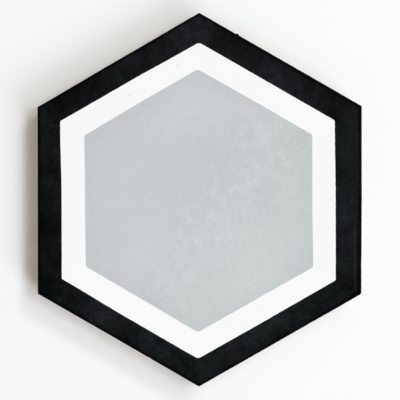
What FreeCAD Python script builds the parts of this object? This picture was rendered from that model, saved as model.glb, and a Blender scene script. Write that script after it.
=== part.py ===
"""Hexagonal cement floor tile with a concentric black, white and grey face.

The tile is one pressed slab. Millimetres, +Z up, the face on top. The origin is at the
middle of the back, two corners point along +Y and -Y and two flats face +X and -X.

The coloured layer stands square, so that neighbouring tiles meet evenly. Below it the
edges draw in towards the back, which leaves room for bedding mortar between the tiles.
The colours lie flush in one face. Their boundaries are seams in it, not steps.
"""
import FreeCAD, Part
import math
import os
import Sketcher

SIDES = 6
TURN = 2 * math.pi / SIDES
DRIVING_SIZES = [
    # alias, value in mm, what it is
    ("across_flats", 200.0, "tile, from one flat side to the opposite one"),
    ("thickness", 16.0, "tile, from back to face"),
    ("corner_radius", 0.8, "upright corners of the outline"),
    ("face_arris", 1.2, "rounding between the face and the edges"),
    ("coloured_layer", 4.0, "depth of the colours, over which the edges stand square"),
    ("back_inset", 0.8, "how far each edge has drawn in at the back"),
    ("back_arris", 0.6, "broken corner between the edges and the back"),
    ("border_width", 15.3, "black border, across a flat side"),
    ("band_width", 14.4, "white band, across a flat side"),
    ("field_corner_radius", 1.0, "corners of the white and the grey field"),
    ("divider_shift_x", -0.7, "how far the divider frame stood off centre, towards a flat"),
    ("divider_shift_y", -0.4, "how far the divider frame stood off centre, towards a corner"),
]
WORKED_OUT = [
    # alias, formula, what it is
    ("back_flats", "=across_flats - 2 * back_inset", "back, across flats"),
    ("mortar_height", "=thickness - coloured_layer", "mortar, over which the edges draw in"),
    ("white_flats", "=across_flats - 2 * border_width", "white field, across flats"),
    ("grey_flats", "=white_flats - 2 * band_width", "grey field, across flats"),
]
SAME_HEIGHT = 1e-4


def make_sheet(doc):
    """The driving sizes, one per row, and below them the sizes that follow from them."""
    sheet = doc.addObject("Spreadsheet::Sheet", "sizes")
    for row, (alias, value, meaning) in enumerate(DRIVING_SIZES + WORKED_OUT, start=1):
        sheet.set(f"A{row}", meaning)
        sheet.set(f"B{row}", str(value))
        sheet.setAlias(f"B{row}", alias)
    doc.recompute()


def origin_plane(body, role):
    """One of a body's own origin planes, by its role."""
    return next(p for p in body.Origin.OriginFeatures if p.Role == role)


def around(reach, turns):
    """A point at a distance from the sketch's origin, so many sixths of a turn from its X axis."""
    return FreeCAD.Vector(reach * math.cos(turns * TURN), reach * math.sin(turns * TURN), 0)


def draw_hexagon(sketch, flats, radius):
    """Six sides, then the six rounded corners between them, then the circle inside them all."""
    to_centre = (flats / 2 - radius) / math.cos(TURN / 2)
    half_side = to_centre * math.sin(TURN / 2)
    upward = FreeCAD.Vector(0, 0, 1)
    for i in range(SIDES):
        middle = around(flats / 2, i)
        along = around(half_side, i + SIDES / 4)
        sketch.addGeometry(Part.LineSegment(middle - along, middle + along), False)
    for i in range(SIDES):
        corner = Part.Circle(around(to_centre, i + 0.5), upward, radius)
        sketch.addGeometry(Part.ArcOfCircle(corner, i * TURN, (i + 1) * TURN), False)
    return sketch.addGeometry(Part.Circle(around(0, 0), upward, flats / 2), True)


def tie_hexagon(sketch, circle, flats_alias, radius_alias):
    """Holds the sides to the circle, the corners to the sides, and both to the sheet."""
    start, end, centre = 1, 2, 3
    for i in range(SIDES):
        corner, next_side = SIDES + i, (i + 1) % SIDES
        sketch.addConstraint(Sketcher.Constraint("Tangent", i, circle))
        sketch.addConstraint(Sketcher.Constraint("Tangent", i, end, corner, start))
        sketch.addConstraint(Sketcher.Constraint("Tangent", corner, end, next_side, start))
    for i in range(1, SIDES):
        sketch.addConstraint(Sketcher.Constraint("Equal", 0, i))
        sketch.addConstraint(Sketcher.Constraint("Equal", SIDES, SIDES + i))
    sketch.addConstraint(Sketcher.Constraint("Vertical", 0))
    sketch.addConstraint(Sketcher.Constraint("Coincident", circle, centre, -1, start))
    sheet = sketch.Document.sizes
    for kind, item, alias in (("Diameter", circle, flats_alias), ("Radius", SIDES, radius_alias)):
        size = sketch.addConstraint(Sketcher.Constraint(kind, item, getattr(sheet, alias)))
        sketch.setExpression(f"Constraints[{size}]", f"sizes.{alias}")


def sketch_hexagon(body, name, flats_alias, radius_alias, place):
    """A hexagon with rounded corners, level, and moved from the middle of the back by place."""
    sketch = body.newObject("Sketcher::SketchObject", name)
    sketch.AttachmentSupport = (origin_plane(body, "XY_Plane"), "")
    sketch.MapMode = "FlatFace"
    for axis, alias in place.items():
        sketch.setExpression(f"AttachmentOffset.Base.{axis}", f"sizes.{alias}")
    sheet = body.Document.sizes
    circle = draw_hexagon(sketch, getattr(sheet, flats_alias), getattr(sheet, radius_alias))
    tie_hexagon(sketch, circle, flats_alias, radius_alias)
    return sketch


def level_edges(shape, height):
    """Names of the edges of a shape that lie level at one height."""
    names = []
    for number, edge in enumerate(shape.Edges, start=1):
        box = edge.BoundBox
        if abs(box.ZMin - height) < SAME_HEIGHT and abs(box.ZMax - height) < SAME_HEIGHT:
            names.append(f"Edge{number}")
    return names


def press_slab(body):
    """The mortar with edges that draw in towards the back, and the square layer on top of it."""
    back = sketch_hexagon(body, "back_outline", "back_flats", "corner_radius", {})
    on_mortar = {"z": "mortar_height"}
    outline = sketch_hexagon(body, "outline", "across_flats", "corner_radius", on_mortar)
    mortar = body.newObject("PartDesign::AdditiveLoft", "mortar")
    mortar.Profile = back
    mortar.Sections = [outline]
    mortar.Ruled = True
    layer = body.newObject("PartDesign::Pad", "coloured_layer")
    layer.Profile = outline
    layer.setExpression("Length", "sizes.coloured_layer")
    body.Document.recompute()
    return layer


def break_edges(body, slab):
    """Rounds the arris round the face and breaks the one round the back."""
    eased = body.newObject("PartDesign::Fillet", "eased_face")
    eased.Base = (slab, level_edges(slab.Shape, slab.Shape.BoundBox.ZMax))
    eased.setExpression("Radius", "sizes.face_arris")
    body.Document.recompute()
    broken = body.newObject("PartDesign::Chamfer", "broken_back")
    broken.Base = (eased, level_edges(eased.Shape, eased.Shape.BoundBox.ZMin))
    broken.setExpression("Size", "sizes.back_arris")
    body.Document.recompute()


def inlay(body, colour):
    """Fills one colour down from the face. It merges with the slab and leaves its outline as a seam."""
    place = {"x": "divider_shift_x", "y": "divider_shift_y", "z": "thickness"}
    outline = f"{colour}_outline"
    sketch = sketch_hexagon(body, outline, f"{colour}_flats", "field_corner_radius", place)
    field = body.newObject("PartDesign::Pad", f"{colour}_field")
    field.Profile = sketch
    field.Reversed = True
    field.Refine = False
    field.setExpression("Length", "sizes.coloured_layer")
    body.Document.recompute()


def check(doc, body):
    """Stops if a feature failed or the tile isn't one sound solid."""
    for item in doc.Objects:
        if "Invalid" in item.State or "Error" in item.State:
            raise RuntimeError(f"{item.Name} failed: {item.State}")
    shape = body.Shape
    if shape.isNull() or not shape.isValid() or len(shape.Solids) != 1:
        raise RuntimeError(f"{body.Label} isn't one sound solid")


def main():
    doc = FreeCAD.newDocument("hexagon_tile")
    make_sheet(doc)
    tile = doc.addObject("PartDesign::Body", "tile")
    tile.Label = "hexagon_tile"
    tile.Placement = FreeCAD.Placement()
    break_edges(tile, press_slab(tile))
    for colour in ("white", "grey"):
        inlay(tile, colour)
    doc.recompute()
    check(doc, tile)
    os.makedirs("parts", exist_ok=True)
    tile.Shape.exportStep(f"parts/{tile.Label}.step")


main()
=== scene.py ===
"""Looks of the hexagonal cement floor tile: black, white and grey in one pressed face, on sandy mortar.

Shapes are worked out in millimetres on the tile's own axes and become metres when a mesh is made.
The real tile is one piece. Here each of its four cements is a mesh that shares its borders with the next.
"""

import bpy
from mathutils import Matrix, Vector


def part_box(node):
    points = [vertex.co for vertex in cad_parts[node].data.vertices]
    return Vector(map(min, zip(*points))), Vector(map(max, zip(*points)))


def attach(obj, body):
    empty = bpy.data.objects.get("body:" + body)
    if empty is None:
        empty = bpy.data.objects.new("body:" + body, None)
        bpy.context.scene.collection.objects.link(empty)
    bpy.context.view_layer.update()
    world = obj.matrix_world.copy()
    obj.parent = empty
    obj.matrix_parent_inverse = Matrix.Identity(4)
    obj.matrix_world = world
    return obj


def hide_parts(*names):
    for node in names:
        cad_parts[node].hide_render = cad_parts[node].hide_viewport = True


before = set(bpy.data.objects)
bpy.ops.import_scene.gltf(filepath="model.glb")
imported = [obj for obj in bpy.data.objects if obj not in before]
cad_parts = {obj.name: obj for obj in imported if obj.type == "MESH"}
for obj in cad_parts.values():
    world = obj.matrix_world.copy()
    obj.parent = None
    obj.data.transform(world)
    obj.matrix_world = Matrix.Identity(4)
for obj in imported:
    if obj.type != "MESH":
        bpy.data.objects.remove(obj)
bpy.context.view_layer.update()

import bpy
import math
import numpy as np
from mathutils import Vector, noise

MM = 0.001
NODE = "hexagon_tile"
BOX_LOW, BOX_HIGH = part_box(NODE)
ACROSS_FLATS = (BOX_HIGH[0] - BOX_LOW[0]) / MM
THICKNESS = (BOX_HIGH[2] - BOX_LOW[2]) / MM

SIDES = 6
TURN = 2 * math.pi / SIDES
HALF_TURN = TURN / 2

# Sizes in mm, as the CAD source has them
CORNER_RADIUS = 0.8
FACE_ARRIS = 1.2
COLOURED_LAYER = 4.0
BACK_INSET = 0.8
BACK_ARRIS = 0.6
BORDER_WIDTH = 15.3
BAND_WIDTH = 14.4
DIVIDER_SHIFT = (-0.7, -0.4)
WHITE_FLATS = ACROSS_FLATS - 2 * BORDER_WIDTH
GREY_FLATS = WHITE_FLATS - 2 * BAND_WIDTH
MORTAR_TOP = THICKNESS - COLOURED_LAYER

# Sides and corners go anticlockwise, from the side that faces +X and the corner after it.
# How far each side of the mould or of a divider stood out from true, in mm, at its start, middle and end
STRAIGHT = [(0.0, 0.0, 0.0)] * SIDES
OUTLINE_BOW = [
    (-0.25, 0.0, 0.0), (0.1, 0.0, -0.2), (0.1, -0.1, -0.45),
    (0.0, -0.1, -0.15), (0.05, -0.05, 0.0), (-0.45, -0.15, 0.1),
]
WHITE_BOW = [
    (-0.25, -0.35, -0.85), (-0.1, -0.2, -0.3), (-0.55, 0.1, 0.15),
    (0.5, -0.4, -0.45), (-0.85, -0.2, -0.15), (-0.5, -0.1, 0.0),
]
GREY_BOW = [
    (0.25, -0.3, -0.35), (-0.2, -0.15, -0.5), (0.0, 0.0, -0.4),
    (0.0, -0.4, -0.8), (-0.4, -0.15, 0.15), (-0.2, 0.1, 0.45),
]
# Rounding of each corner, in mm
OUTLINE_CORNERS = [CORNER_RADIUS] * 4 + [1.4, 2.0]
WHITE_CORNERS = [1.8, 3.6, 1.2, 0.8, 3.8, 0.8]
GREY_CORNERS = [1.8, 3.2, 1.2, 1.9, 3.4, 0.9]

# Marks on the outline: side, distance from its middle, half width and how far it stands out, in mm
OUTLINE_MARKS = [(1, 30.8, 0.9, 0.65), (1, 32.7, 0.8, -0.15), (0, -41.0, 2.2, -0.15), (4, 22.0, 1.4, -0.2)]
# Points of the outline that are less than this inside a side, in mm, are on that side
ON_SIDE = 1.0

# Rounding between face and edge on each side, in mm, and the least share of it that there is anywhere
ARRIS_BY_SIDE = (1.35, 1.1, 0.95, 0.85, 1.0, 1.25)
ARRIS_LEAST = 0.85

# Unevenness. Each kind has a reach, the size of its lumps in mm, and the seed and octaves of its noise.
# The reach of the arris's wear is a share of its rounding, and the others' are in mm
ARRIS_WEAR = (0.3, 14, 5, 3)
WHITE_RAGGED = (0.18, 1.6, 1, 2)
GREY_RAGGED = (0.18, 1.6, 2, 2)
FACE_DIP = (0.10, 75, 3, 1)
FACE_RIPPLE = (0.03, 16, 4, 2)
SEAM_WAVE = (1.3, 26, 6, 2)
SEAM_RIPPLE = (0.5, 4, 7, 2)
EDGE_SAND = (0.12, 1.6, 8, 3)
EDGE_RIPPLE = (0.06, 3.0, 8, 3)
BACK_SAND = (0.16, 1.5, 9, 2)
BACK_WAVE = (0.12, 22, 10, 2)
BACK_VOIDS = (3.6, 5.5, 11, 2)
# The voids of the back open where their noise is above this
VOIDS_ABOVE = 0.84
# Height in mm below the seam over which the sand of the edge comes out
SAND_FADE = 1.5

# Mesh steps: points along a side, points round half a corner, and rows across each surface
SIDE_STEPS = 150
CORNER_STEPS = 2
FIELD_ROWS = 20
ARRIS_ROWS = 6
EDGE_ROWS = 4
MORTAR_ROWS = 15
# Faces that meet at more than this are shaded apart
SHARP_DEGREES = 55

# A whole number that comes out less than this too small still counts as whole
ROUNDING = 1e-9
# From one seed to the next the noise is taken this far away, in lumps
SEED_STEP = Vector((17.3, 5.1, 9.7))
# Widens fractal noise, so that it runs from about 0 to 1
LUMP_GAIN = 0.6
# How sharply a value changes where one side meets the next
SIDE_SHARPNESS = 24


def smooth(share):
    """Eases a share from 0 to 1, held at both ends."""
    share = np.clip(share, 0, 1)
    return share * share * (3 - 2 * share)


def heading(angle):
    return np.array((math.cos(angle), math.sin(angle)))


def lumps(points, size, seed, octaves):
    """Soft noise from 0 to 1 at each point, with lumps of about that size in mm."""
    found = [noise.fractal(Vector(p) / size + SEED_STEP * seed, 1.0, 2.0, octaves) for p in points]
    return np.clip(0.5 + LUMP_GAIN * np.array(found), 0, 1)


def uneven(points, kind, middle=0.0):
    """Noise of one kind at each point, from 0 up to its reach, or around 0 where the middle is 0.5."""
    reach, size, seed, octaves = kind
    return reach * (lumps(points, size, seed, octaves) - middle)


def spots(points, marks):
    """Soft round spots on the face. A mark is x, y, radius and strength."""
    total = np.zeros(len(points))
    for x, y, radius, strength in marks:
        away = np.hypot(points[:, 0] - x, points[:, 1] - y)
        total += strength * np.exp(-((away / radius) ** 2))
    return total


def by_side(points, values):
    """One value for each side, blended round the corners."""
    angle = np.arctan2(points[:, 1], points[:, 0])
    facing = [np.maximum(np.cos(angle - i * TURN), 0) for i in range(SIDES)]
    pull = np.array(facing) ** SIDE_SHARPNESS
    return np.array(values) @ pull / pull.sum(axis=0)


def level(points, height):
    """Points of the plane at one height, or at one each."""
    return np.column_stack((points, np.broadcast_to(height, len(points))))


def bowed(bow, share):
    """How far a side stands out at shares of its length."""
    start, middle, end = bow
    return start + (middle - start) * smooth(2 * share) + (end - middle) * smooth(2 * share - 1)


def sharp_corner(flats, bow, i):
    """Where a side and the next one cross."""
    after = (i + 1) % SIDES
    reach = (flats / 2 + bow[i][2], flats / 2 + bow[after][0])
    return np.linalg.solve(np.array((heading(i * TURN), heading(after * TURN))), reach)


def hexagon(flats, radii, bow=STRAIGHT, shift=(0.0, 0.0)):
    """Points round a hexagon, side after side, each from the middle of one corner to that of the next."""
    bends = np.arange(CORNER_STEPS) * HALF_TURN / CORNER_STEPS
    share = np.linspace(0, 1, SIDE_STEPS - 2 * CORNER_STEPS + 1)
    hubs = []
    for i in range(SIDES):
        to_hub = heading(i * TURN + HALF_TURN) * radii[i] / math.cos(HALF_TURN)
        hubs.append(sharp_corner(flats, bow, i) - to_hub)
    points = []
    for i in range(SIDES):
        out = heading(i * TURN)
        start, end = hubs[i - 1] + radii[i - 1] * out, hubs[i] + radii[i] * out
        lean = bow[i][0] + (bow[i][2] - bow[i][0]) * share
        points += [hubs[i - 1] + radii[i - 1] * heading(i * TURN - HALF_TURN + bend) for bend in bends]
        points += list(start + np.outer(share, end - start) + np.outer(bowed(bow[i], share) - lean, out))
        points += [hubs[i] + radii[i] * heading(i * TURN + bend) for bend in bends[1:]]
    return np.array(points) + np.array(shift)


def grained(points, kind):
    """A pigment border, as ragged as the grains of the cement."""
    out = points / np.linalg.norm(points, axis=1)[:, None]
    return points + uneven(level(points, 0), kind, 0.5)[:, None] * out


def marked(points):
    """The outline with its small burrs and nicks."""
    for side, place, width, stand_out in OUTLINE_MARKS:
        out, along = heading(side * TURN), heading(side * TURN + math.pi / 2)
        on_side = points @ out > ACROSS_FLATS / 2 - ON_SIDE
        bump = stand_out * np.exp(-(((points @ along - place) / width) ** 2)) * on_side
        points = points + np.outer(bump, out)
    return points


# Rings near the outline are drawn in from it towards a true hexagon, this far inside it in mm
DRAWN_IN = 2.0
DRAWN_IN_RADIUS = 0.4
OUTLINE = marked(hexagon(ACROSS_FLATS, OUTLINE_CORNERS, OUTLINE_BOW))
INNER_LINE = hexagon(ACROSS_FLATS - 2 * DRAWN_IN, [DRAWN_IN_RADIUS] * SIDES)
WHITE_EDGE = grained(hexagon(WHITE_FLATS, WHITE_CORNERS, WHITE_BOW, DIVIDER_SHIFT), WHITE_RAGGED)
GREY_EDGE = grained(hexagon(GREY_FLATS, GREY_CORNERS, GREY_BOW, DIVIDER_SHIFT), GREY_RAGGED)


def inset(depth):
    """The outline drawn in by one depth in mm, or by one for each of its points."""
    depth = np.broadcast_to(depth, len(OUTLINE))
    return OUTLINE + (INNER_LINE - OUTLINE) * depth[:, None] / DRAWN_IN


def dip(points):
    """How far the pressed face lies below its highest spots."""
    flat = level(points, 0)
    return uneven(flat, FACE_DIP) + uneven(flat, FACE_RIPPLE)


def arris_size():
    """Rounding between face and edge, in mm. It is worn most on the right."""
    return by_side(OUTLINE, ARRIS_BY_SIDE) * (ARRIS_LEAST + uneven(level(OUTLINE, 0), ARRIS_WEAR))


def seam_height():
    """Height at which the black layer ends and the mortar begins, all round the edge."""
    flat = level(OUTLINE, 0)
    return MORTAR_TOP + uneven(flat, SEAM_WAVE, 0.5) + uneven(flat, SEAM_RIPPLE, 0.5)


class Shell:
    """The points and faces of one closed surface, put together ring by ring."""

    def __init__(self):
        self.points = np.empty((0, 3))
        self.faces = []

    def ring(self, points):
        """Adds points, and says where they start."""
        self.points = np.vstack((self.points, points))
        return len(self.points) - len(points)

    def bridge(self, first, second):
        """Faces between two rings. They look outward where the second lies above or inside the first."""
        here = np.arange(SIDES * SIDE_STEPS)
        there = (here + 1) % len(here)
        quads = (first + here, first + there, second + there, second + here)
        self.faces += np.column_stack(quads).tolist()

    def run(self, rings, closed=False):
        """Rings that follow each other, bridged. Gives where the first and the last one start."""
        starts = [self.ring(points) for points in rings]
        for first, second in zip(starts, starts[1:]):
            self.bridge(first, second)
        if closed:
            self.bridge(starts[-1], starts[0])
        return starts[0], starts[-1]

    def lid(self, start, height, upward):
        """Closes a ring with a plain hidden face."""
        hub = self.ring([(0, 0, height)])
        here = np.arange(SIDES * SIDE_STEPS)
        there = (here + 1) % len(here)
        pair = (start + here, start + there) if upward else (start + there, start + here)
        self.faces += np.column_stack((*pair, np.full(len(here), hub))).tolist()

    def sheet(self, edge, height_of, upward):
        """Fills a ring with an even net of triangles. Gives where the ring itself starts."""
        loop = np.append(edge, edge[:1], axis=0)
        net = [np.array(DIVIDER_SHIFT)[None, :]]
        for k in range(1, SIDE_STEPS + 1):
            place = np.arange(SIDES * k) * SIDE_STEPS / k
            low = np.floor(place + ROUNDING).astype(int)
            part = (place - low)[:, None]
            rim = loop[low] * (1 - part) + loop[np.minimum(low + 1, len(edge))] * part
            net.append(net[0] + (rim - net[0]) * k / SIDE_STEPS)
        flat = np.vstack(net)
        base = self.ring(level(flat, height_of(flat)))
        for k in range(1, SIDE_STEPS + 1):
            self.faces += net_ring(base, k, upward)
        return base + first_of_ring(SIDE_STEPS)


def first_of_ring(k):
    """Where ring k of a net starts: after the middle point and rings of 6, 12, 18 and so on."""
    return 1 + SIDES * k * (k - 1) // 2 if k else 0


def net_ring(base, k, upward):
    """Triangles between ring k of a net and the smaller ring inside it."""
    outer, inner = base + first_of_ring(k), base + first_of_ring(k - 1)
    inner_count = max(SIDES * (k - 1), 1)
    triangles = []
    for side in range(SIDES):
        j = np.arange(k)
        a, b = outer + side * k + j, outer + (side * k + j + 1) % (SIDES * k)
        c = inner + (side * (k - 1) + j) % inner_count
        triangles.append(np.column_stack((a, b, c)))
        d = inner + (side * (k - 1) + j[1:]) % inner_count
        triangles.append(np.column_stack((b[:-1], d, c[:-1])))
    found = np.vstack(triangles)
    return (found if upward else found[:, ::-1]).tolist()


def edge_relief(height, kind):
    """How far the pressed edge lies behind its true line, at one height for each point of the outline."""
    return uneven(level(OUTLINE, height), kind)


def face_rings(outer, inner):
    """Rows of the face from one border to another, the first one included."""
    rings = []
    for share in np.linspace(0, 1, FIELD_ROWS + 1):
        flat = outer + (inner - outer) * share
        rings.append(level(flat, THICKNESS - dip(flat)))
    return rings


def black_shell():
    """The border: its edge above the seam, the rounded arris, the face and the hidden wall inside."""
    shell = Shell()
    size, seam = arris_size(), seam_height()
    face_line = inset(size)
    below_top = dip(face_line)
    edge_top = THICKNESS - below_top - size
    rings = []
    for share in np.linspace(0, 1, EDGE_ROWS + 1)[:-1]:
        height = seam + (edge_top - seam) * share
        rings.append(level(inset(edge_relief(height, EDGE_RIPPLE)), height))
    for turn in np.linspace(0, math.pi / 2, ARRIS_ROWS + 1)[:-1]:
        height = edge_top + size * math.sin(turn)
        behind = size * (1 - math.cos(turn)) + edge_relief(height, EDGE_RIPPLE) * math.cos(turn)
        rings.append(level(inset(behind), height))
    rings += face_rings(face_line, WHITE_EDGE)
    rings += [level(WHITE_EDGE, MORTAR_TOP), level(inset(DRAWN_IN), MORTAR_TOP)]
    shell.run(rings, closed=True)
    return shell


def white_shell():
    """The band between the two dividers."""
    shell = Shell()
    rings = [level(WHITE_EDGE, MORTAR_TOP), *face_rings(WHITE_EDGE, GREY_EDGE), level(GREY_EDGE, MORTAR_TOP)]
    shell.run(rings, closed=True)
    return shell


def grey_shell():
    """The field in the middle."""
    shell = Shell()
    rim = shell.sheet(GREY_EDGE, lambda flat: THICKNESS - dip(flat), upward=True)
    foot = shell.ring(level(GREY_EDGE, MORTAR_TOP))
    shell.bridge(foot, rim)
    shell.lid(foot, MORTAR_TOP, upward=False)
    return shell


def back_height(flat):
    """Sandy relief of the back, with a few open voids. The lowest grains lie on the floor."""
    points = level(flat, 0)
    voids = np.maximum(uneven(points, BACK_VOIDS, VOIDS_ABOVE), 0)
    return uneven(points, BACK_SAND) + uneven(points, BACK_WAVE) + voids


def mortar_shell():
    """The mortar: its back, the edges that draw in towards it, and the hidden face under the colours."""
    shell = Shell()
    seam = seam_height()
    foot = shell.sheet(inset(BACK_INSET + BACK_ARRIS), back_height, upward=False)
    rings = []
    for share in np.linspace(0, 1, MORTAR_ROWS + 1):
        height = BACK_ARRIS + (seam - BACK_ARRIS) * share
        true_line = BACK_INSET * np.clip(1 - height / MORTAR_TOP, 0, 1)
        sand = edge_relief(height, EDGE_SAND) * smooth((seam - height) / SAND_FADE)
        sand += edge_relief(height, EDGE_RIPPLE)
        rings.append(level(inset(true_line + sand), height))
    rings.append(level(inset(DRAWN_IN), MORTAR_TOP))
    first, last = shell.run(rings)
    shell.bridge(foot, first)
    shell.lid(last, MORTAR_TOP, upward=True)
    return shell


def colour(red, green, blue):
    """A colour as seen, in steps of 255, as the linear one that Blender works in."""
    seen = [step / 255 for step in (red, green, blue)]
    linear = [c / 12.92 if c <= 0.04045 else ((c + 0.055) / 1.055) ** 2.4 for c in seen]
    return (*linear, 1.0)


BLUE_GREY, GREEN_GREY = colour(200, 204.2, 207.0), colour(200, 206.0, 206.2)
WHITE = colour(249, 249, 249)
VIOLET_BLACK, TEAL_BLACK = colour(22.1, 22.4, 25.5), colour(19.0, 24.0, 24.9)
THIN_BLACK, BLACK_WASH = colour(128, 124, 116), colour(70, 69, 68)
DARK_PASTE, PALE_PASTE = colour(160, 157, 150), colour(182, 180, 172)
DARK_SAND, PALE_SAND = colour(112, 106, 97), colour(212, 207, 196)

# One of the 255 steps of a pale colour, and of a near black one, as a share of its light
PALE_STEP = 0.0107
DARK_STEP = 0.08
# The least share of its light that a colour keeps
LEAST_LIGHT = 0.2
# How many steps the grey's margin, streak of bloom and pale wisps, and the black's painted highlight and
# strip of painted shade along the edge add
MARGIN_STEPS, BLOOM_STEPS, WISP_STEPS = -3.4, -2.3, 6.5
GLINT_STEPS, RIM_SHADE_STEPS = 16.0, -9.0


class Paint:
    """A cement's material. Its nodes read the tile's own coordinates in mm."""

    def __init__(self, name, specular):
        self.material = bpy.data.materials.new(name)
        self.material.use_nodes = True
        self.nodes = self.material.node_tree.nodes
        self.links = self.material.node_tree.links
        self.shader = self.nodes["Principled BSDF"]
        self.shader.inputs["Specular IOR Level"].default_value = specular
        where = self.add("ShaderNodeTexCoord").outputs["Object"]
        scaled = self.add("ShaderNodeVectorMath", {"Vector": where, "Scale": 1 / MM}, operation="SCALE")
        self.place = scaled.outputs["Vector"]

    def add(self, kind, inputs=None, **settings):
        """A new node. Each input is a plain value or another node's output."""
        node = self.nodes.new(kind)
        for name, value in settings.items():
            setattr(node, name, value)
        for name, value in (inputs or {}).items():
            self.plug(node.inputs[name], value)
        return node

    def plug(self, socket, value):
        if isinstance(value, bpy.types.NodeSocket):
            self.links.new(value, socket)
        else:
            socket.default_value = value

    def set(self, **inputs):
        """Wires up the shader: base_color, roughness and normal."""
        for name, value in inputs.items():
            self.plug(self.shader.inputs[name.replace("_", " ").title()], value)

    def sized(self, size, seed):
        """The tile's coordinates in units of that size in mm, at a place of their own for each seed."""
        return self.add("ShaderNodeMapping", {
            "Vector": self.place, "Location": (seed, seed * 0.7, seed * 1.3), "Scale": [1 / size] * 3,
        }).outputs["Vector"]

    def grain(self, size, seed, detail=3.0, warp=0.0):
        """Noise from 0 to 1 with lumps of about that size in mm, curled where it is warped."""
        place = self.sized(size, seed)
        inputs = {"Vector": place, "Scale": 1.0, "Detail": detail, "Roughness": 0.55, "Distortion": warp}
        return self.add("ShaderNodeTexNoise", inputs).outputs["Fac"]

    def clouds(self, size, seed, reach, detail=3.0, warp=0.0):
        """The same noise as a number around 0, over that reach."""
        return self.times(self.math("SUBTRACT", self.grain(size, seed, detail, warp), 0.5), reach)

    def wisps(self, size, seed, width):
        """Thin curling lines, where a noise passes through its middle value."""
        away = self.math("ABSOLUTE", self.math("SUBTRACT", self.grain(size, seed, 2, warp=1.0), 0.5), 0.0)
        return self.span(away, 0.0, width, 1.0, 0.0)

    def cells(self, size, seed, output="Distance"):
        """Distance to the middle of the nearest grain of about that size in mm, or its chance colour."""
        inputs = {"Vector": self.sized(size, seed), "Scale": 1.0}
        return self.add("ShaderNodeTexVoronoi", inputs).outputs[output]

    def field(self, name):
        """A number that the mesh carries at each point."""
        return self.add("ShaderNodeAttribute", attribute_name=name).outputs["Fac"]

    def span(self, value, low, high, to_low=0.0, to_high=1.0):
        """Where a value lies between two others, eased and held at both."""
        inputs = {"Value": value, "From Min": low, "From Max": high, "To Min": to_low, "To Max": to_high}
        return self.add("ShaderNodeMapRange", inputs, interpolation_type="SMOOTHSTEP").outputs["Result"]

    def math(self, operation, first, second):
        node = self.add("ShaderNodeMath", operation=operation)
        self.plug(node.inputs[0], first)
        self.plug(node.inputs[1], second)
        return node.outputs["Value"]

    def times(self, first, second):
        return self.math("MULTIPLY", first, second)

    def total(self, *values):
        found = values[0]
        for value in values[1:]:
            found = self.math("ADD", found, value)
        return found

    def height(self):
        """Height in mm above the floor."""
        return self.add("ShaderNodeSeparateXYZ", {"Vector": self.place}).outputs["Z"]

    def mix(self, share, first, second):
        """A colour between two others."""
        node = self.add("ShaderNodeMix", data_type="RGBA")
        # The sockets of its kinds of data share their names, so those for colours go by number
        for number, value in ((0, share), (6, first), (7, second)):
            self.plug(node.inputs[number], value)
        return node.outputs[2]

    def lit(self, tint, steps, share):
        """A colour made lighter by a number of steps, each of them that share of it."""
        factor = self.math("ADD", self.times(steps, share), 1.0)
        held = self.math("MAXIMUM", factor, LEAST_LIGHT)
        node = self.add("ShaderNodeVectorMath", {"Scale": held}, operation="SCALE")
        self.plug(node.inputs[0], tint[:3] if isinstance(tint, tuple) else tint)
        return node.outputs["Vector"]

    def bump(self, height, depth, under=None):
        """Fine relief, as deep as that in mm where the height is 1."""
        node = self.add("ShaderNodeBump", {"Height": height, "Distance": depth * MM, "Strength": 1.0})
        if under:
            self.plug(node.inputs["Normal"], under)
        return node.outputs["Normal"]

    def pitted(self, apart, seed, wide, deep, grain, high):
        """Normals of round pores under fine sand, in mm. Their width is a share of how far apart they are."""
        pores = self.span(self.cells(apart, seed), 0.0, wide)
        return self.bump(self.grain(grain, seed + 1, 4), high, self.bump(pores, deep))


# Where the face is a little lighter or darker: x, y and radius in mm, and steps of 255
GREY_POOLS = [
    (28, -38, 30, 3.6), (14, -22, 11, 2.0), (-10, -36, 22, 1.4), (-6, 56, 16, 2.2), (36, 41, 7, 2.6),
    (3, 33, 12, -2.6), (-20, 14, 17, -1.8), (-64, -32, 14, -1.8), (-62, 40, 12, -2.0), (60, 34, 13, -4.0),
    (50, -6, 26, -2.0), (66, -38, 12, -3.2), (-40, -5, 40, 0.8), (26, 0, 7, 3.0), (-40, -34, 14, 1.6),
    (-24, 44, 9, 1.8), (26, 60, 8, 2.0), (34, -55, 9, 1.8), (6, -40, 7, -2.2), (-44, -52, 6, 1.5),
    (56, 21, 7, 2.4), (46, 47, 7, 2.2), (-5, 0, 8, -1.7), (8, 24, 8, -1.8), (25, 41, 8, -1.3),
    (-2, -22, 7, 1.2),
]
WHITE_STAINS = [
    (-43.1, 64.6, 0.8, -19), (-13.3, 83.3, 0.8, -13), (-51.6, 65, 0.8, -6), (-34.1, 67, 0.8, -8),
    (-80.7, 3.2, 0.9, -5), (81.9, 8.7, 0.9, -5),
]
BLACK_STAINS = [
    (-88, -47, 1.2, 5), (-57, -73, 9, 8), (42, 79, 7, 4), (84, 50, 7, -9), (94, -54, 12, -4),
    (-93, -54, 14, -4), (-76, -58, 8, -4), (48, -74, 8, 2), (-2, 108, 9, 5), (4, -91, 8, -6),
    (-97, 34, 13, 6), (-12, 98, 13, 5), (-70, 66, 16, -4), (66, 69, 14, -1), (51, 73, 9, 4),
    (30, 88, 9, -7), (-48, -84, 9, -8), (-30, -84, 8, 5), (31, -84, 8, 5), (72, -62, 9, -5),
    (-93, -17, 9, -4), (47, -88, 9, -4), (-87, 55, 9, -5), (10, 97, 8, -4), (-4, -100, 6, -5),
    (8, -107, 6, 4), (91, -12, 8, 3), (90, 24, 8, -3), (-90, 24, 6, -3), (-94, 47, 6, 6),
    (-89, 12, 6, 4), (12, -97, 7, -3),
]
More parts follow.
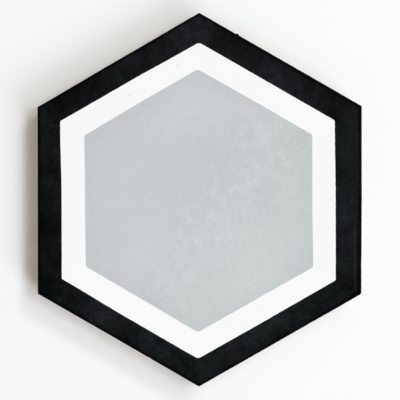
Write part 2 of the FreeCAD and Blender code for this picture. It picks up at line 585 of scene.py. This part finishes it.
# The streak of bloom: its middle line in mm, the width over which it fades out, the share of that width
# which is full before, and spots that have more or less of it
BLOOM_START, BLOOM_END, BLOOM_WIDTH, BLOOM_CORE = (44, 42), (-16, -54), 22, 0.35
BLOOM_PATCHES = [
    (61, 25, 12, 0.9), (11, 29, 7, 0.5), (34, 0, 9, 0.8), (8, 18, 7, 0.6), (40, 20, 6, -0.6),
    (-10, -8, 7, 0.6), (31, 31, 6, 0.2), (0, -53, 8, -0.4), (32, -26, 8, -0.2),
]
# The band's painted light and shade on each side, from the one that faces +X
BAND_PAINTED_LIGHT = (-2.2, -0.5, 0.3, 0.7, 1.3, -0.4)
# The border's painted light and shade on each side, along the outline, and how much more it has at the band
SIDE_PAINTED_LIGHT = (-0.5, -3, -4.2, -6.2, -0.5, -2.5)
INNER_PAINTED_LIGHT = (1, 5.5, 4.5, 2.5, 2.5, 7)
# How far the border's violet turns to teal on each side
SIDE_TEAL = (0.95, 0.12, 0.0, 0.15, 0.8, 0.95)
# How much violet is left along the rim on the right, how far in it is full and over what width it fades,
# and the x from which it comes in and over what width, in mm
RIM_VIOLET = 0.7
VIOLET_DEPTH, VIOLET_FADE = 3.5, 3
VIOLET_FROM_X, VIOLET_RISE = 60, 30
# The darker strip just inside the outline, painted shade of the rounded edge and partly darker pigment: its
# width on each side, where it is wider or narrower, and the width over which it fades, in mm
RIM_WIDTH = (2.4, 2.1, 1.8, 1.8, 1.9, 1.8)
RIM_SWELLS = [(100, -34, 24, 0.8), (100, 14, 12, -0.5)]
RIM_FADE = 0.9
# The painted highlight, a pale line along the edge on the right side: how far in it lies, its half width, and
# the y where it starts and where it is full, in mm
GLINT_DEPTH, GLINT_WIDTH = 4.3, 0.7
GLINT_START_Y, GLINT_FULL_Y = 5, -40
GLINT_BY_SIDE = (1, 0, 0, 0, 0, 0)
# Width in mm of the darker margin of the grey field
MARGIN_WIDTH = 11
# The greener part of the grey field lies right of an upright border and below a slanting one, each with the
# width over which it fades. A corner is left out of it
GREEN_FROM_X, GREEN_FADE_X = 38, 9
GREEN_ACROSS, GREEN_FROM_SLANT, GREEN_FADE_SLANT = (0.68, -0.73), 31, 11
BLUE_CORNER = (68, -42, 15, 1.0)

# Unevenness of these tints, with the same four numbers as that of the shapes
BLOOM_RAGGED = (9, 18, 12, 3)
GREEN_RAGGED = (9, 12, 15, 3)
RIM_RAGGED = (0.7, 8, 13, 3)
GLINT_PATCHES = (0.5, 9, 14, 3)
TEAL_PATCHES = (1.3, 24, 16, 2)


def bloom(points):
    """The slanting streak of the grey field where fine pale specks have come out."""
    start, end = np.array(BLOOM_START), np.array(BLOOM_END)
    run = end - start
    share = np.clip((points[:, :2] - start) @ run / (run @ run), 0, 1)
    away = np.linalg.norm(points[:, :2] - start - np.outer(share, run), axis=1)
    streak = 1 - smooth((away + uneven(points, BLOOM_RAGGED, 0.5)) / BLOOM_WIDTH - BLOOM_CORE)
    return np.maximum(streak + spots(points, BLOOM_PATCHES), 0)


def inward(points, flats=ACROSS_FLATS):
    """Distance in mm inward from a hexagon round the middle, or from the tile's outline."""
    reach = [points[:, :2] @ heading(i * TURN) for i in range(SIDES)]
    return flats / 2 - np.max(reach, axis=0)


def edge_shade_and_pigment(points):
    """Weight of the darker strip just inside the outline, which is widest on the right: painted shade of the
    rounded edge, partly darker pigment.
    """
    width = by_side(points, RIM_WIDTH) + uneven(points, RIM_RAGGED, 0.5)
    width += spots(points, RIM_SWELLS)
    return 1 - smooth((inward(points) - width) / RIM_FADE + 0.5)


def field_rim(points):
    """Weight of the grey field's slightly darker margin."""
    return 1 - smooth(inward(points - (*DIVIDER_SHIFT, 0), GREY_FLATS) / MARGIN_WIDTH)


def painted_glint(points):
    """Weight of the faint pale line beside the dark strip on the right, a painted highlight, stronger towards
    its lower end.
    """
    across = np.exp(-(((inward(points) - GLINT_DEPTH) / GLINT_WIDTH) ** 2))
    down = smooth((GLINT_START_Y - points[:, 1]) / (GLINT_START_Y - GLINT_FULL_Y))
    return across * down * by_side(points, GLINT_BY_SIDE) * (0.5 + uneven(points, GLINT_PATCHES))


def white_painted_light_and_stains(points):
    """How much lighter or darker the band is than its colour, in steps of 255: painted light and shade by
    side, and stains.
    """
    return by_side(points, BAND_PAINTED_LIGHT) + spots(points, WHITE_STAINS)


def black_painted_light_and_stains(points):
    """How much lighter or darker the border is than its colour, in steps of 255: painted sheen and shade by
    side, lighter towards the band, and stains.
    """
    across = np.clip(inward(points) / BORDER_WIDTH, 0, 1)
    return by_side(points, SIDE_PAINTED_LIGHT) + by_side(points, INNER_PAINTED_LIGHT) * across + spots(points, BLACK_STAINS)


def teal_share(points):
    """Weight of teal over violet in the border, in patches. Near the rim the violet is left."""
    near_rim = 1 - smooth((inward(points) - VIOLET_DEPTH) / VIOLET_FADE)
    violet = RIM_VIOLET * near_rim * smooth((points[:, 0] - VIOLET_FROM_X) / VIOLET_RISE)
    return np.clip(by_side(points, SIDE_TEAL) + uneven(points, TEAL_PATCHES, 0.5) - violet, 0, 1)


def greenness(points):
    """Weight of the greener part of the grey field, on the right and below the streak."""
    ragged = uneven(points, GREEN_RAGGED, 0.5)
    right = smooth((points[:, 0] + ragged - GREEN_FROM_X) / GREEN_FADE_X + 0.5)
    below = smooth((points[:, :2] @ GREEN_ACROSS + ragged - GREEN_FROM_SLANT) / GREEN_FADE_SLANT + 0.5)
    return np.maximum(right, below) * (1 - spots(points, [BLUE_CORNER]))


def paint_grey():
    """Pale grey, bluer on the left, with curdled clouds and a slanting streak of pale wisps."""
    paint = Paint("grey_cement", specular=0.15)
    green, streak = paint.field("green"), paint.field("bloom")
    curds = paint.total(
        paint.clouds(5.5, 35, 9, warp=1.2),
        paint.clouds(2.4, 40, 8, warp=0.8),
        paint.clouds(1.0, 36, 9),
    )
    strength = paint.total(0.95, paint.times(green, 0.24), paint.times(streak, 0.35))
    clumps = paint.span(paint.total(paint.grain(7, 31), paint.times(streak, 0.12)), 0.54, 0.72)
    pale = paint.total(paint.wisps(3.4, 32, 0.07), paint.wisps(1.9, 33, 0.07))
    steps = paint.total(
        paint.field("pool"),
        paint.times(paint.field("margin"), MARGIN_STEPS),
        paint.clouds(26, 34, 3),
        paint.times(curds, strength),
        paint.times(paint.times(pale, clumps), paint.times(streak, WISP_STEPS)),
        paint.times(streak, BLOOM_STEPS),
    )
    paint.set(
        base_color=paint.lit(paint.mix(green, BLUE_GREY, GREEN_GREY), steps, PALE_STEP),
        roughness=paint.total(0.52, paint.clouds(12, 37, 0.25), paint.times(streak, 0.06)),
        normal=paint.pitted(3.1, 38, wide=0.10, deep=0.03, grain=0.7, high=0.012),
    )
    return paint.material


def paint_white():
    """Near white with the faintest clouds, painted light and shade on each side and a few small grey stains.
    """
    paint = Paint("white_cement", specular=0.15)
    steps = paint.total(
        paint.clouds(22, 41, 2.0),
        paint.clouds(5, 46, 3.0),
        paint.clouds(1.3, 42, 6.0),
        # painted light and shade by side, and stains
        paint.field("light"),
    )
    paint.set(
        base_color=paint.lit(WHITE, steps, PALE_STEP),
        roughness=paint.total(0.5, paint.clouds(12, 43, 0.25)),
        normal=paint.pitted(3.4, 44, wide=0.09, deep=0.03, grain=0.7, high=0.012),
    )
    return paint.material


def paint_black():
    """Near black with pale haze in clouds, painted sheen and shade on each side, a painted highlight and
    painted shade along the rim, thin above the mortar.
    """
    paint = Paint("black_cement", specular=0.02)
    # light holds painted sheen and shade by side, and stains; rim holds painted shade along the edge, partly
    # darker pigment
    light, rim = paint.field("light"), paint.field("rim")
    haze = paint.total(
        paint.clouds(17, 51, 20, detail=4, warp=0.8),
        paint.clouds(5.5, 58, 17, warp=1.0),
        paint.clouds(2.2, 52, 12),
        paint.clouds(0.9, 53, 20),
    )
    steps = paint.total(
        light,
        paint.times(haze, paint.total(1.1, paint.times(light, 0.06))),
        # painted highlight along the edge on the right
        paint.times(paint.field("glint"), GLINT_STEPS),
        # painted shade along the edge, partly darker pigment
        paint.times(rim, RIM_SHADE_STEPS),
    )
    face = paint.lit(paint.mix(paint.field("teal"), VIOLET_BLACK, TEAL_BLACK), steps, DARK_STEP)
    ragged = paint.total(paint.height(), paint.clouds(2.2, 54, 2.4))
    thin = paint.span(ragged, MORTAR_TOP - 0.2, MORTAR_TOP + 1.0, 1.0, 0.0)
    paint.set(
        base_color=paint.mix(paint.times(thin, 0.7), face, THIN_BLACK),
        roughness=paint.total(0.5, paint.clouds(10, 55, 0.3), paint.times(rim, 0.12)),
        normal=paint.pitted(2.6, 56, wide=0.12, deep=0.04, grain=0.6, high=0.02),
    )
    return paint.material


def paint_mortar():
    """Warm grey sand and cement, with darker and paler grains and a black wash under the seam."""
    paint = Paint("mortar", specular=0.25)
    clouds = paint.span(paint.grain(18, 61), 0.35, 0.65)
    paste = paint.mix(clouds, DARK_PASTE, PALE_PASTE)
    chance = paint.add("ShaderNodeSeparateColor", {"Color": paint.cells(0.9, 62, "Color")}).outputs["Red"]
    dark, pale = paint.span(chance, 0.72, 0.9), paint.span(chance, 0.22, 0.08)
    sand = paint.mix(paint.times(dark, 0.6), paste, DARK_SAND)
    sand = paint.mix(paint.times(pale, 0.6), sand, PALE_SAND)
    ragged = paint.total(paint.height(), paint.clouds(3.0, 63, 5.0))
    wash = paint.span(ragged, MORTAR_TOP - 2.2, MORTAR_TOP + 0.4)
    paint.set(
        base_color=paint.mix(paint.times(wash, 0.75), sand, BLACK_WASH),
        roughness=paint.span(clouds, 0, 1, 0.82, 0.92),
        normal=paint.pitted(2.2, 64, wide=0.16, deep=0.15, grain=0.5, high=0.09),
    )
    return paint.material


def make_piece(name, shell, material, fields):
    """One cement of the tile as a mesh. A field is a number at each point that its material reads."""
    mesh = bpy.data.meshes.new(name)
    mesh.from_pydata(shell.points * MM, [], shell.faces)
    mesh.shade_smooth()
    mesh.set_sharp_from_angle(angle=math.radians(SHARP_DEGREES))
    for field, worked_out in fields.items():
        attribute = mesh.attributes.new(field, "FLOAT", "POINT")
        attribute.data.foreach_set("value", worked_out(shell.points))
    mesh.materials.append(material)
    piece = bpy.data.objects.new(name, mesh)
    bpy.context.collection.objects.link(piece)
    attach(piece, "root")
    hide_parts(NODE)


def make_tile():
    # The border's fields carry painted sheen and shade by side with stains, a painted highlight, and painted
    # shade along the edge that is partly darker pigment
    border_fields = {"light": black_painted_light_and_stains, "rim": edge_shade_and_pigment, "glint": painted_glint, "teal": teal_share}
    make_piece("black_border", black_shell(), paint_black(), border_fields)
    # The band's field carries painted light and shade by side, and stains
    make_piece("white_band", white_shell(), paint_white(), {"light": white_painted_light_and_stains})
    centre_fields = {
        "bloom": bloom, "green": greenness, "margin": field_rim,
        "pool": lambda points: spots(points, GREY_POOLS),
    }
    make_piece("grey_centre", grey_shell(), paint_grey(), centre_fields)
    make_piece("mortar_back", mortar_shell(), paint_mortar(), {})


# The studio, in metres
FLOOR_SIZE = 12.0
FLOOR_COLOUR = (0.95, 0.955, 0.955, 1.0)
LAMP_DISTANCE = 6.0
# Name, degrees round from +X, degrees up, width, height, share of a white surface's light, and colour
LAMPS = [
    ("lamp_upper_right", 46, 41, 1.6, 1.2, 0.145, (0.96, 1.0, 1.0)),
    ("lamp_lower_right", -42, 32, 2.4, 3.0, 0.217, (0.925, 1.0, 1.12)),
    ("lamp_high_right", 19, 60, 0.9, 2.2, 0.122, (1.0, 1.0, 1.06)),
    ("lamp_wide_right", 0, 56, 3.0, 1.2, 0.16, (0.87, 1.0, 1.06)),
    ("lamp_overhead", -97, 86, 8.4, 1.05, 0.163, (1.2, 1.0, 0.8)),
]
ROOM_TINT = (1.07, 1.0, 0.94)
# Brightness of the room at heights from the horizon, 0, to straight up, 1
ROOM_LIGHT = [(0.0, 0.81), (0.08, 0.81), (0.16, 0.065), (0.3, 0.25), (0.5, 0.523), (0.75, 0.303), (0.9, 0.0)]

# The camera looks straight down. Where the photo's frame and the tile in it lie, in pixels
PHOTO_WIDTH = 400
TILE_FLATS_PIXELS = 324.3
TILE_PIXEL = (199.72, 199.86)
LENS_MM = 100.0
SENSOR_MM = 36.0


def lay_floor():
    half = FLOOR_SIZE / 2
    mesh = bpy.data.meshes.new("floor")
    corners = [(-half, -half, 0), (half, -half, 0), (half, half, 0), (-half, half, 0)]
    mesh.from_pydata(corners, [], [(0, 1, 2, 3)])
    material = bpy.data.materials.new("floor")
    material.use_nodes = True
    shader = material.node_tree.nodes["Principled BSDF"]
    shader.inputs["Base Color"].default_value = FLOOR_COLOUR
    shader.inputs["Roughness"].default_value = 1.0
    shader.inputs["Specular IOR Level"].default_value = 0.0
    mesh.materials.append(material)
    floor = bpy.data.objects.new("floor", mesh)
    bpy.context.collection.objects.link(floor)


def light_room():
    """A room that is pale round the tile and dark straight above it, so that the black stays black."""
    world = bpy.data.worlds.new("room")
    world.use_nodes = True
    nodes, links = world.node_tree.nodes, world.node_tree.links
    where = nodes.new("ShaderNodeTexCoord").outputs["Generated"]
    split = nodes.new("ShaderNodeSeparateXYZ")
    ramp = nodes.new("ShaderNodeValToRGB")
    stops = ramp.color_ramp.elements
    stops.remove(stops[1])
    for i, (height, strength) in enumerate(ROOM_LIGHT):
        stop = stops.new(height) if i else stops[0]
        stop.position = height
        stop.color = (*(strength * share for share in ROOM_TINT), 1.0)
    links.new(where, split.inputs[0])
    links.new(split.outputs["Z"], ramp.inputs["Fac"])
    links.new(ramp.outputs["Color"], nodes["Background"].inputs["Color"])
    bpy.context.scene.world = world


def hang_lamps():
    """Broad soft lamps that face the tile, four of them on the right and one overhead."""
    for name, azimuth, elevation, width, height, share, tint in LAMPS:
        up, round_x = math.radians(elevation), math.radians(azimuth)
        toward = Vector((*heading(round_x) * math.cos(up), math.sin(up)))
        light = bpy.data.lights.new(name, "AREA")
        light.shape = "RECTANGLE"
        light.size, light.size_y = width, height
        # The power at which a lamp this far away gives a level white surface that share of full light
        light.energy = share * (math.pi * LAMP_DISTANCE) ** 2 / math.sin(up)
        light.color = tint
        lamp = bpy.data.objects.new(name, light)
        lamp.location = toward * LAMP_DISTANCE
        lamp.rotation_euler = (-toward).to_track_quat("-Z", "Y").to_euler()
        bpy.context.collection.objects.link(lamp)


def set_camera():
    """Straight above the tile, with the frame's upper edge towards +Y."""
    metres_per_pixel = ACROSS_FLATS * MM / TILE_FLATS_PIXELS
    data = bpy.data.cameras.new("camera")
    data.lens = LENS_MM
    data.sensor_width = SENSOR_MM
    camera = bpy.data.objects.new("camera", data)
    distance = PHOTO_WIDTH * metres_per_pixel * LENS_MM / SENSOR_MM
    aside = (PHOTO_WIDTH / 2 - TILE_PIXEL[0]) * metres_per_pixel
    upward = (TILE_PIXEL[1] - PHOTO_WIDTH / 2) * metres_per_pixel
    widest = (THICKNESS - FACE_ARRIS) * MM
    camera.location = (aside, upward, widest + distance)
    bpy.context.collection.objects.link(camera)
    bpy.context.scene.camera = camera


make_tile()
lay_floor()
light_room()
hang_lamps()
set_camera()
bpy.context.scene.view_settings.view_transform = "Standard"
